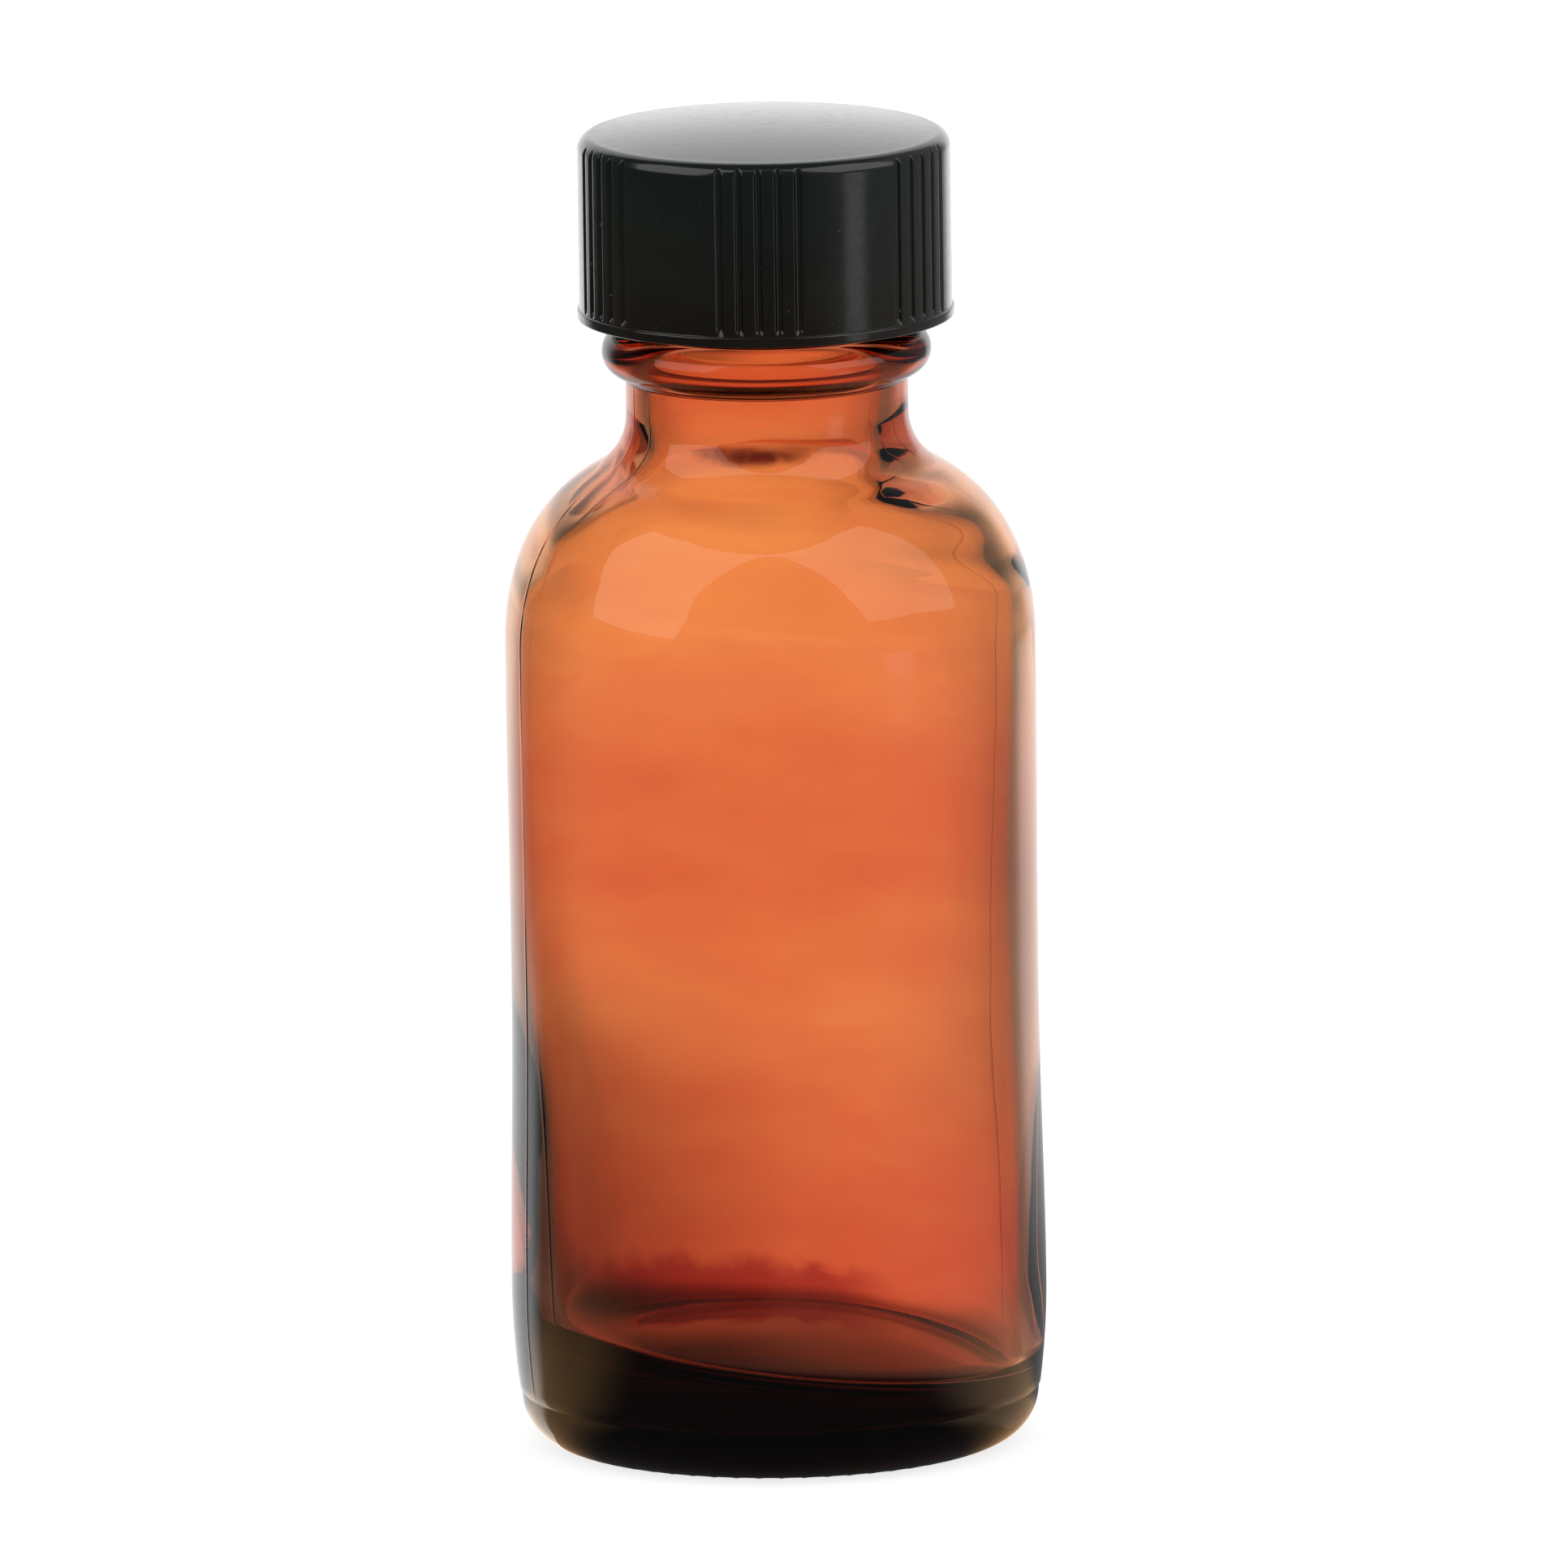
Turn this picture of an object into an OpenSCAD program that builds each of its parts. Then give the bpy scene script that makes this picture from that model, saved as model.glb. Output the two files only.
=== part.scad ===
// Small amber narrow-mouth reagent bottle with a fluted screw cap and a two-layer disc liner.
// The bottle stands on z = 0 with its axis on Z. All sizes are in millimetres.

/* [Bottle body] */
// Diameter just under the shoulder
body_d = 32.7; // [31:0.1:36]
// Diameter at the waist, the narrowest place of the body
waist_d = 32.5; // [31:0.1:36]
// Diameter of the low belly, the widest place of the body
belly_d = 33.0; // [31:0.1:36]
// Height of the belly above the table
belly_z = 10; // [7:0.5:14]
// Height of the waist above the table
waist_z = 28; // [22:0.5:34]
// Overall height of the glass
glass_h = 79.2; // [76:0.2:84]

/* [Shoulder] */
// Distance from the top of the glass down to the foot of the shoulder
shoulder_drop = 28.8; // [28:0.2:34]
// Radius of the slack curve at the foot of the shoulder
shoulder_slack_r = 14.8; // [12:0.1:18]
// Turn of that slack curve, in degrees
shoulder_slack_turn = 21; // [10:1:30]
// Radius of the round of the shoulder
shoulder_r = 10.2; // [8.6:0.1:11]
// Radius of the hollow where the shoulder runs into the neck
neck_fillet = 3.9; // [2:0.1:4.4]

/* [Base] */
// Diameter at the parting line above the heel
heel_d = 31.9; // [29:0.1:32]
// Radius of the heel
heel_r = 3.2; // [1.5:0.1:3.3]
// Height of the parting line between base plate and body mould
parting_z = 3.4; // [3.3:0.1:5]
// Step in radius at that parting line
parting_step = 0.12; // [0.05:0.01:0.2]
// Inner diameter of the flat ring that the bottle stands on
bearing_id = 21.4; // [16:0.2:22]
// Depth of the push-up in the middle of the base
push_up = 1.5; // [0.5:0.1:3]

/* [Glass walls] */
// Wall thickness of the body
body_wall = 1.5; // [1:0.1:2.2]
// Height of the inner floor at its edge
floor_z = 5.6; // [4:0.1:8]
// Rise of the inner floor from its edge to its middle
floor_crown = 0.5; // [0.2:0.1:1.5]
// Radius between the inner floor and the wall
floor_corner = 3; // [1:0.1:4]
// Radius inside, where the shoulder runs into the neck
inner_fillet = 5.6; // [2:0.1:6]
// Inner diameter of the neck
neck_in_d = 14.4; // [13:0.1:14.8]
// Diameter of the mouth and of the bore below it
bore_d = 12.4; // [11.6:0.1:13]
// Depth of that bore below the top of the glass
bore_l = 6.7; // [6:0.1:8]
// Height over which the neck narrows to the bore
bore_run = 3.5; // [2:0.1:4.5]

/* [Neck finish] */
// Diameter of the neck below the bead
neck_d = 17.4; // [16.6:0.1:18]
// Diameter of the transfer bead
bead_d = 20.3; // [19.6:0.1:21]
// Radius of the bead's round edge
bead_r = 1.5; // [1:0.05:1.7]
// Radius between the neck and the underside of the bead
bead_fillet = 0.35; // [0.1:0.05:0.8]
// Height from the top of the bead to the top of the glass
finish_h = 9.4; // [8.8:0.1:9.8]
// Diameter of the plain wall that the thread stands on
wall_d = 17.55; // [16.6:0.05:17.9]
// Diameter over the thread
thread_d = 19.7; // [18.8:0.05:19.9]
// Pitch of the thread
thread_pitch = 3.175; // [2.8:0.025:3.4]
// Turns of thread on the glass
thread_turns = 1.25; // [0.75:0.05:1.4]
// Width of the thread along the axis at its root
thread_w = 2.1; // [1.4:0.1:2.4]
// Distance from the top of the glass to the thread
thread_start = 0.95; // [0.8:0.05:1.2]
// Radius on the edges of the sealing land
land_r = 0.7; // [0.3:0.05:0.75]

/* [Cap] */
// Diameter over the smooth panels of the cap
cap_d = 22.96; // [22.6:0.02:24]
// Height from the cap's rim to the seat of the liner
skirt_h = 9.85; // [9.3:0.05:10.2]
// Thickness of the cap's top in the middle
cap_top_t = 2.15; // [1.8:0.05:2.6]
// Rise of the cap's domed top from its edge to its middle
cap_dome = 0.6; // [0.2:0.05:0.8]
// Radius of the cap's top edge
cap_corner = 0.85; // [0.6:0.05:1.2]
// Height of the collar round the rim
collar_h = 0.65; // [0.4:0.05:1.2]
// Height of the collar over the panels
collar_proud = 0.13; // [0.08:0.01:0.3]
// Gap between the thread on the glass and the inside of the cap, on the radius
thread_gap = 0.25; // [0.15:0.05:0.4]
// Bevel inside the rim that guides the cap on
rim_bevel = 0.4; // [0.2:0.05:0.7]
// Bevel on the outer edges of the collar
collar_bevel = 0.12; // [0.05:0.01:0.18]

/* [Grip flutes] */
// Number of flute groups round the cap
flute_groups = 6; // [4:1:8]
// Flutes in one group
flutes_in_group = 5; // [3:1:6]
// Angle between the flutes of a group, in degrees
flute_step = 6.2; // [5:0.1:7]
// Angle of the middle of the first group, in degrees
flute_phase = -92; // [-120:1:-60]
// Width of a flute at the surface of the panels
flute_w = 0.54; // [0.3:0.02:0.8]
// Depth of a flute
flute_depth = 0.2; // [0.1:0.01:0.26]

/* [Liner] */
// Thickness of the pulpboard backing
backing_t = 0.9; // [0.6:0.05:1.2]
// Thickness of the facing film against the glass
facing_t = 0.15; // [0.1:0.01:0.25]
// Gap between the liner's edge and the cap, on the radius
liner_gap = 0.2; // [0.1:0.05:0.35]

/* [Hidden] */
$fn = 96;

// Steps along an arc of the revolved outlines, and round the top edge of the cap
arc_steps = 10;
corner_steps = 6;

// Bottle, outside
shoulder_z = glass_h - shoulder_drop;
body_r = body_d / 2;
waist_r = waist_d / 2;
belly_r = belly_d / 2;
heel_out = heel_d / 2;
parting_r = heel_out + parting_step;
bearing_in = bearing_id / 2;
neck_r = neck_d / 2;
bead_out = bead_d / 2;
wall_r = wall_d / 2;
thread_r = thread_d / 2;
bead_z = glass_h - finish_h - bead_r;
thread_top = glass_h - thread_start;
thread_foot = thread_top - thread_turns * thread_pitch - thread_w;
thread_flank = (thread_r - wall_r) / 2;

// Bottle, inside
body_in = body_r - body_wall;
waist_in = waist_r - body_wall;
belly_in = belly_r - body_wall;
floor_r = belly_in - floor_corner;
neck_in = neck_in_d / 2;
bore_r = bore_d / 2;
bore_foot = glass_h - bore_l;

// Centres of the two curves of the shoulder, which the inside shares
slack_x = body_r - shoulder_slack_r;
round_x = slack_x + (shoulder_slack_r - shoulder_r) * cos(shoulder_slack_turn);
round_z = shoulder_z + (shoulder_slack_r - shoulder_r) * sin(shoulder_slack_turn);

// Closure, stacked on the sealing land
facing_top = glass_h + facing_t;
seat_z = facing_top + backing_t;
cap_top = seat_z + cap_top_t;
cap_edge = cap_top - cap_dome;
cap_foot = seat_z - skirt_h;
collar_top = cap_foot + collar_h;
cap_r = cap_d / 2;
collar_r = cap_r + collar_proud;
cap_bore_r = thread_r + thread_gap;
liner_r = cap_bore_r - liner_gap;
// A flute is cut by a round bar that shows flute_w at the panel and reaches flute_depth below it
flute_round = (flute_w * flute_w / 4 + flute_depth * flute_depth) / (2 * flute_depth);

// Points of an arc about [cx, cz] from angle a0 to a1
function arc(cx, cz, r, a0, a1, steps = arc_steps) =
    [for (i = [0 : steps])
        let (a = a0 + (a1 - a0) * i / steps)
        [cx + r * cos(a), cz + r * sin(a)]];

// Points of a gentle S between two radii, upright at both ends
function swell(r0, z0, r1, z1) =
    [for (i = [0 : arc_steps])
        let (t = i / arc_steps)
        [r0 + (r1 - r0) * (3 - 2 * t) * t * t, z0 + (z1 - z0) * t]];

// Points from [r0, z0] to [r1, z1] that end upright
function flare(r0, z0, r1, z1) =
    [for (i = [0 : arc_steps])
        let (t = i / arc_steps)
        [r0 + (r1 - r0) * t * (2 - t), z0 + (z1 - z0) * t]];

// Shallow dome over a circle of radius r at height z, from its middle to its edge
function dome(r, z, rise) =
    let (big_r = (r * r + rise * rise) / (2 * rise))
    arc(0, z + rise - big_r, big_r, 90, 90 - asin(r / big_r));

// Round of radius round_r about [cx, cz] from angle a0, run by a fillet into the upright radius r
function run_in(cx, cz, round_r, a0, r, fillet_r) =
    let (fx = r + fillet_r,
         reach = round_r + fillet_r,
         rise = sqrt(reach * reach - (fx - cx) * (fx - cx)),
         turn = atan2(rise, fx - cx))
    concat(arc(cx, cz, round_r, a0, turn),
           arc(fx, cz + rise, fillet_r, turn + 180, 180));

// Points in the opposite order
function backward(points) = [for (i = [len(points) - 1 : -1 : 0]) points[i]];

// Outside of the glass, from the middle of the base up to the sealing land
function glass_outside() =
    let (bead_x = bead_out - bead_r,
         under_x = neck_r + bead_fillet,
         reach = bead_r + bead_fillet,
         drop = sqrt(reach * reach - (bead_x - under_x) * (bead_x - under_x)),
         turn = atan2(drop, bead_x - under_x))
    concat(dome(bearing_in, 0, push_up),
           arc(heel_out - heel_r, heel_r, heel_r, -90, 0),
           [[heel_out, parting_z]],
           flare(parting_r, parting_z + parting_step, belly_r, belly_z),
           swell(belly_r, belly_z, waist_r, waist_z),
           swell(waist_r, waist_z, body_r, shoulder_z),
           arc(slack_x, shoulder_z, shoulder_slack_r, 0, shoulder_slack_turn),
           run_in(round_x, round_z, shoulder_r, shoulder_slack_turn, neck_r, neck_fillet),
           arc(under_x, bead_z - drop, bead_fillet, 180, turn),
           arc(bead_x, bead_z, bead_r, turn - 180, 90),
           [[wall_r, bead_z + bead_r],
            [wall_r, thread_foot],
            [thread_r, thread_foot + thread_flank],
            [thread_r, thread_top - thread_flank],
            [wall_r, thread_top]],
           arc(wall_r - land_r, glass_h - land_r, land_r, 0, 90));

// Inside of the glass, from the sealing land down to the middle of the floor
function glass_inside() =
    backward(concat(dome(floor_r, floor_z, floor_crown),
                    arc(floor_r, floor_z + floor_corner, floor_corner, -90, 0),
                    swell(belly_in, belly_z, waist_in, waist_z),
                    swell(waist_in, waist_z, body_in, shoulder_z),
                    arc(slack_x, shoulder_z, shoulder_slack_r - body_wall, 0, shoulder_slack_turn),
                    run_in(round_x, round_z, shoulder_r - body_wall, shoulder_slack_turn,
                           neck_in, inner_fillet),
                    swell(neck_in, bore_foot - bore_run, bore_r, bore_foot),
                    arc(bore_r + land_r, glass_h - land_r, land_r, 180, 90)));

// Cap before fluting: skirt with collar, domed top with a rounded edge, and the bore with its seat
function cap_section() =
    concat([[0, seat_z],
            [cap_bore_r, seat_z],
            [cap_bore_r, cap_foot + rim_bevel],
            [cap_bore_r + rim_bevel, cap_foot],
            [collar_r - collar_bevel, cap_foot],
            [collar_r, cap_foot + collar_bevel],
            [collar_r, collar_top - collar_bevel],
            [collar_r - collar_bevel, collar_top],
            [cap_r, collar_top]],
           arc(cap_r - cap_corner, cap_edge - cap_corner, cap_corner, 0, 90, corner_steps),
           backward(dome(cap_r - cap_corner, cap_edge, cap_dome)));

// Upright bar that cuts one flute, from the collar out through the rounded top edge
module flute_bar() {
    translate([cap_r - flute_depth + flute_round, 0, collar_top])
        cylinder(r = flute_round, h = cap_top - collar_top);
}

module flute_group() {
    for (i = [0 : flutes_in_group - 1])
        rotate((i - (flutes_in_group - 1) / 2) * flute_step) flute_bar();
}

module flutes() {
    for (g = [0 : flute_groups - 1])
        rotate(flute_phase + g * 360 / flute_groups) flute_group();
}

module disc(z, t) {
    translate([0, 0, z]) cylinder(r = liner_r, h = t);
}

module bottle() {
    color([0.55, 0.25, 0.08]) rotate_extrude() polygon(concat(glass_outside(), glass_inside()));
}

module liner_facing() {
    color("ivory") disc(glass_h, facing_t);
}

module liner_backing() {
    color("burlywood") disc(facing_top, backing_t);
}

module cap() {
    color([0.09, 0.1, 0.1]) difference() {
        rotate_extrude() polygon(cap_section());
        flutes();
    }
}

bottle();
liner_facing();
liner_backing();
cap();
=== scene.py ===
import math

import bpy
import numpy as np
from mathutils import Matrix, Vector


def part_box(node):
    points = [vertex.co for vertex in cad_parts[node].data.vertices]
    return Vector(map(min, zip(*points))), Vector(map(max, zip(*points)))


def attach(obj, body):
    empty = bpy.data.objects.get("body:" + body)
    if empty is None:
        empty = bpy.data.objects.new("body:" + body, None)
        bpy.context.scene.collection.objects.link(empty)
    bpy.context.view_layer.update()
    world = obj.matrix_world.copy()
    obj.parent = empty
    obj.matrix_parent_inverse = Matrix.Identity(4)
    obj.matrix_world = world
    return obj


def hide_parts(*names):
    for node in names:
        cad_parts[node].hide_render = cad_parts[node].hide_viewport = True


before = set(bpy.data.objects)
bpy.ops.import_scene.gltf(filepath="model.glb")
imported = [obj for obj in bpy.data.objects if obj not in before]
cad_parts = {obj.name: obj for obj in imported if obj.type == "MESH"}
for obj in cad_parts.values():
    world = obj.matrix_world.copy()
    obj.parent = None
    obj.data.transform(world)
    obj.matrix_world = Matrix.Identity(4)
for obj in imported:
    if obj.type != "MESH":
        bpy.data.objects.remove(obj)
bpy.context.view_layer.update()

MM = 0.001

# ---------------------------------------------------------------- driving values, in mm and degrees

# Camera: the photograph's view, 3.5 m in front of the bottle and looking slightly down
CAMERA_AT = (0.72, -3500.0, 710.5)
CAMERA_AIM = (0.72, 0.0, 41.0)
CAMERA_LENS = 1328.3
CAMERA_SENSOR = 36.0
CAMERA_ROLL = 0.78
CAMERA_CLIP = (0.05, 20.0)

# Glass, outside
BEARING_IN = 10.7
HEEL_OUT = 15.95
HEEL_R = 3.2
PUSH_UP = 1.5
PARTING_Z = 3.4
PARTING_STEP = 0.12
BELLY_Z = 10.0
WAIST_R = 16.25
WAIST_Z = 28.0
BODY_R = 16.35
SHOULDER_DROP = 28.8
SLACK_R = 14.8
SLACK_TURN = 21.0
SHOULDER_R = 10.2
NECK_R = 8.7
NECK_FILLET = 3.9
BEAD_OUT = 10.15
BEAD_R = 1.5
BEAD_FILLET = 0.35
FINISH_H = 9.4
WALL_R = 8.775
LAND_R = 0.7

# Glass, inside
NECK_IN = 7.2
BORE_R = 6.2
BORE_FOOT = 72.5
BORE_RUN = 3.5
FLOOR_Z = 5.6
FLOOR_CROWN = 0.5
FLOOR_CORNER = 2.0
BODY_WALL = 1.5
INNER_FILLET = 5.6
# The land stops this far under the liner, so that the two faces don't coincide
LAND_GAP = 0.015

# Thread on the glass
THREAD_R = 9.85
THREAD_PITCH = 3.175
THREAD_TURNS = 1.25
THREAD_W = 2.1
THREAD_START = 0.95
THREAD_START_ANGLE = 200.0
THREAD_RUN_OUT = 25.0
# Share of the thread's half width at which its crest ends and its flank begins
THREAD_CREST = 0.38

# Mould marks
SEAM_ANGLES = (-160.4, 19.6)
SEAM_PROUD = 0.03
SEAM_HALF_W = 0.11
# The seams rise over the parting step, stop under the bead, and show again on the finish
SEAM_FADE_IN = (0.2, 1.0)
SEAM_FADE_OUT = (-2.2, -1.6)
FINISH_SEAM = 0.7
FINISH_SEAM_FADE_IN = (0.3, 0.8)
FINISH_SEAM_FADE_OUT = (77.6, 78.2)
STIPPLES = 60
STIPPLE_DEPTH = 0.16
STIPPLE_IN = (0.1, 0.5)
STIPPLE_OUT = (13.4, 13.9)

# Cap
CAP_CORNER = 0.85
CAP_DOME = 0.6
COLLAR_H = 0.65
COLLAR_PROUD = 0.13
COLLAR_BEVEL = 0.12
CAP_BORE_R = 10.1
RIM_BEVEL = 0.4
SEAT_CORNER = 0.25
COLLAR_SLOPE = 0.02
FLUTE_GROUPS = 6
FLUTES_IN_GROUP = 5
FLUTE_STEP = 6.2
FLUTE_PHASE = -92.0
FLUTE_W = 0.54
FLUTE_DEPTH = 0.2
FLUTE_LOW = 0.1
# The scoop at a flute's low end, and the rounding across it in shares of its half width
FLUTE_SCOOP = (-0.1, 0.35)
FLUTE_ROUND = (0.25, 1.15)
# Height over the collar up to which the cap's side has fine rows for the scoops
SCOOP_ROWS = 1.0

# Meshes: points round the bottle and the cap, the extra ones at each seam in degrees and at each
# flute in widths of it, and the steps along the outlines in mm
BOTTLE_SIDES = 360
CAP_SIDES = 120
SEAM_SPREAD = (-1.3, -0.8, -0.55, -0.35, -0.18, 0, 0.18, 0.35, 0.55, 0.8, 1.3)
FLUTE_SPREAD = (-0.75, -0.58, -0.48, -0.38, -0.28, -0.18, 0, 0.18, 0.28, 0.38, 0.48, 0.58, 0.75)
LEAST_TURN = 0.04
OUTSIDE_STEP = {"push_up": 0.9, "ring": 0.3, "heel": 0.28, "heel_top": 0.1, "parting": 0.05,
                "belly": 0.5, "wall": 1.0, "shoulder": 0.45, "bead": 0.25, "bead_top": 0.2,
                "finish": 0.13, "land": 0.15}
INSIDE_STEP = {"floor": 0.6, "corner": 0.35, "wall": 0.8, "shoulder": 0.4, "neck": 0.4,
               "bore": 0.8, "land": 0.2}
CAP_STEP = {"seat": 1.2, "seat_corner": 0.1, "bore": 0.3, "rim": 0.15, "collar_edge": 0.04,
            "collar": 0.1, "collar_top": 0.05, "scoop": 0.12, "side": 0.5, "corner": 0.1,
            "top": 0.5}


# ---------------------------------------------------------------- sizes read from the frame

def node_top(name):
    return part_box(name)[1].z / MM


def node_radius(name):
    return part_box(name)[1].x / MM


GLASS_H = node_top("bottle")
BELLY_R = node_radius("bottle")
CAP_TOP = node_top("cap")
CAP_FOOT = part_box("cap")[0].z / MM
CAP_R = node_radius("cap") - COLLAR_PROUD
SEAT_Z = node_top("liner_backing")
SHOULDER_Z = GLASS_H - SHOULDER_DROP
BEAD_Z = GLASS_H - FINISH_H - BEAD_R
THREAD_TOP = GLASS_H - THREAD_START


# ---------------------------------------------------------------- outlines

def steps_for(length, step):
    return max(2, int(math.ceil(length / step)))


def arc(cx, cz, r, a0, a1, step):
    """Points of an arc, about step apart, from angle a0 to a1."""
    n = steps_for(abs(math.radians(a1 - a0)) * r, step)
    turn = np.radians(np.linspace(a0, a1, n + 1))
    return np.column_stack([cx + r * np.cos(turn), cz + r * np.sin(turn)])


def line(r0, z0, r1, z1, step):
    """Points of a straight line, about step apart."""
    n = steps_for(math.hypot(r1 - r0, z1 - z0), step)
    t = np.linspace(0, 1, n + 1)
    return np.column_stack([r0 + (r1 - r0) * t, z0 + (z1 - z0) * t])


def swell(r0, z0, r1, z1, step):
    """A gentle S between two radii, upright at both ends."""
    points = line(r0, z0, r1, z1, step)
    t = np.linspace(0, 1, len(points))
    points[:, 0] = r0 + (r1 - r0) * (3 - 2 * t) * t * t
    return points


def flare(r0, z0, r1, z1, step):
    """A curve between two radii that is upright at its upper end."""
    points = line(r0, z0, r1, z1, step)
    t = np.linspace(0, 1, len(points))
    points[:, 0] = r0 + (r1 - r0) * t * (2 - t)
    return points


def dome(r, z, rise, step):
    """A shallow round from the axis, rise over z, out and down to r at z."""
    big_r = (r * r + rise * rise) / (2 * rise)
    edge = 90 - math.degrees(math.asin(r / big_r))
    return arc(0, z + rise - big_r, big_r, 90, edge, step)


def joined(*parts):
    """One outline from several, without the points that repeat at the joins."""
    points = np.vstack(parts)
    apart = np.hypot(*np.diff(points, axis=0).T) > 1e-6
    return points[np.concatenate([[True], apart])]


def run_in(cx, cz, round_r, a0, r, fillet_r, step):
    """A round from angle a0, run by a fillet into the upright radius r."""
    fx = r + fillet_r
    reach = round_r + fillet_r
    rise = math.sqrt(reach * reach - (fx - cx) ** 2)
    turn = math.degrees(math.atan2(rise, fx - cx))
    return joined(arc(cx, cz, round_r, a0, turn, step),
                  arc(fx, cz + rise, fillet_r, turn + 180, 180, step))


def shoulder(inset, end_r, fillet_r, step):
    """The two curves of the shoulder, set in by the wall, and the fillet into the neck."""
    slack_x = BODY_R - SLACK_R
    turn = math.radians(SLACK_TURN)
    round_x = slack_x + (SLACK_R - SHOULDER_R) * math.cos(turn)
    round_z = SHOULDER_Z + (SLACK_R - SHOULDER_R) * math.sin(turn)
    return joined(arc(slack_x, SHOULDER_Z, SLACK_R - inset, 0, SLACK_TURN, step),
                  run_in(round_x, round_z, SHOULDER_R - inset, SLACK_TURN, end_r, fillet_r, step))


def bead(step):
    """The neck's small fillet and the round edge of the bead."""
    bead_x = BEAD_OUT - BEAD_R
    under_x = NECK_R + BEAD_FILLET
    reach = BEAD_R + BEAD_FILLET
    drop = math.sqrt(reach * reach - (bead_x - under_x) ** 2)
    turn = math.degrees(math.atan2(drop, bead_x - under_x))
    return joined(arc(under_x, BEAD_Z - drop, BEAD_FILLET, 180, turn, step / 2),
                  arc(bead_x, BEAD_Z, BEAD_R, turn - 180, 90, step))


def glass_outside():
    """Outside of the glass without the thread, from the middle of the base to the land's top."""
    step = OUTSIDE_STEP
    land = GLASS_H - LAND_GAP
    parting_r = HEEL_OUT + PARTING_STEP
    parting_top = PARTING_Z + PARTING_STEP
    bead_top = BEAD_Z + BEAD_R
    return joined(dome(BEARING_IN, 0, PUSH_UP, step["push_up"]),
                  line(BEARING_IN, 0, HEEL_OUT - HEEL_R, 0, step["ring"]),
                  arc(HEEL_OUT - HEEL_R, HEEL_R, HEEL_R, -90, 0, step["heel"]),
                  line(HEEL_OUT, HEEL_R, HEEL_OUT, PARTING_Z, step["heel_top"]),
                  line(HEEL_OUT, PARTING_Z, parting_r, parting_top, step["parting"]),
                  flare(parting_r, parting_top, BELLY_R, BELLY_Z, step["belly"]),
                  swell(BELLY_R, BELLY_Z, WAIST_R, WAIST_Z, step["wall"]),
                  swell(WAIST_R, WAIST_Z, BODY_R, SHOULDER_Z, step["wall"]),
                  shoulder(0, NECK_R, NECK_FILLET, step["shoulder"]),
                  bead(step["bead"]),
                  line(BEAD_OUT - BEAD_R, bead_top, WALL_R, bead_top, step["bead_top"]),
                  line(WALL_R, bead_top, WALL_R, land - LAND_R, step["finish"]),
                  arc(WALL_R - LAND_R, land - LAND_R, LAND_R, 0, 90, step["land"]))


def glass_inside():
    """Inside of the glass, from the land down to the middle of the floor, as if it were even."""
    step = INSIDE_STEP
    land = GLASS_H - LAND_GAP
    belly_in = BELLY_R - BODY_WALL
    waist_in = WAIST_R - BODY_WALL
    body_in = BODY_R - BODY_WALL
    floor_r = belly_in - FLOOR_CORNER
    upward = joined(dome(floor_r, FLOOR_Z, FLOOR_CROWN, step["floor"]),
                    arc(floor_r, FLOOR_Z + FLOOR_CORNER, FLOOR_CORNER, -90, 0, step["corner"]),
                    swell(belly_in, BELLY_Z, waist_in, WAIST_Z, step["wall"]),
                    swell(waist_in, WAIST_Z, body_in, SHOULDER_Z, step["wall"]),
                    shoulder(BODY_WALL, NECK_IN, INNER_FILLET, step["shoulder"]),
                    swell(NECK_IN, BORE_FOOT - BORE_RUN, BORE_R, BORE_FOOT, step["neck"]),
                    line(BORE_R, BORE_FOOT, BORE_R, land - LAND_R, step["bore"]),
                    arc(BORE_R + LAND_R, land - LAND_R, LAND_R, 180, 90, step["land"]))
    return upward[::-1]


# ---------------------------------------------------------------- meshes

def turned_angles(base_count, dense):
    """Angles for a turned mesh in degrees: an even set, and the dense ones that marks need."""
    even = np.arange(base_count) * 360.0 / base_count - 180.0
    extra = (np.asarray(dense, float) + 180.0) % 360.0 - 180.0
    angles = np.sort(np.concatenate([even, extra]))
    keep = np.concatenate([[True], np.diff(angles) > LEAST_TURN])
    return angles[keep]


def turned_mesh(name, r, z, angles):
    """A closed mesh from rows of radii and heights, one row per outline point, in mm.
    The first and last rows are single points on the axis."""
    turn = np.radians(angles)
    rows, count = r.shape
    ring = np.stack([r * np.cos(turn), r * np.sin(turn), z], axis=-1)[1:-1].reshape(-1, 3)
    first = [0, 0, z[0].mean()]
    last = [0, 0, z[-1].mean()]
    verts = np.vstack([ring, [first], [last]]) * MM
    first_at, last_at = len(ring), len(ring) + 1
    here = np.arange(count)
    after = (here + 1) % count
    faces = []
    for row in range(rows - 3):
        low, high = row * count, (row + 1) * count
        faces.extend(np.column_stack([low + here, low + after, high + after, high + here]).tolist())
    top = (rows - 3) * count
    faces.extend(np.column_stack([np.full(count, first_at), after, here]).tolist())
    faces.extend(np.column_stack([top + here, top + after, np.full(count, last_at)]).tolist())
    mesh = bpy.data.meshes.new(name)
    mesh.from_pydata(verts.tolist(), [], faces)
    mesh.shade_smooth()
    mesh.update()
    piece = bpy.data.objects.new(name, mesh)
    bpy.context.scene.collection.objects.link(piece)
    return piece


def smooth(a, b, t):
    """0 below a, 1 above b, and a smooth step between them."""
    s = np.clip((t - a) / (b - a), 0, 1)
    return s * s * (3 - 2 * s)


def bump_at(t, centre, half_width):
    return np.exp(-((t - centre) / half_width) ** 2)


def angle_from(angles, centre):
    """Signed angle in degrees from centre, between -180 and 180."""
    return (angles - centre + 180.0) % 360.0 - 180.0


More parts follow.
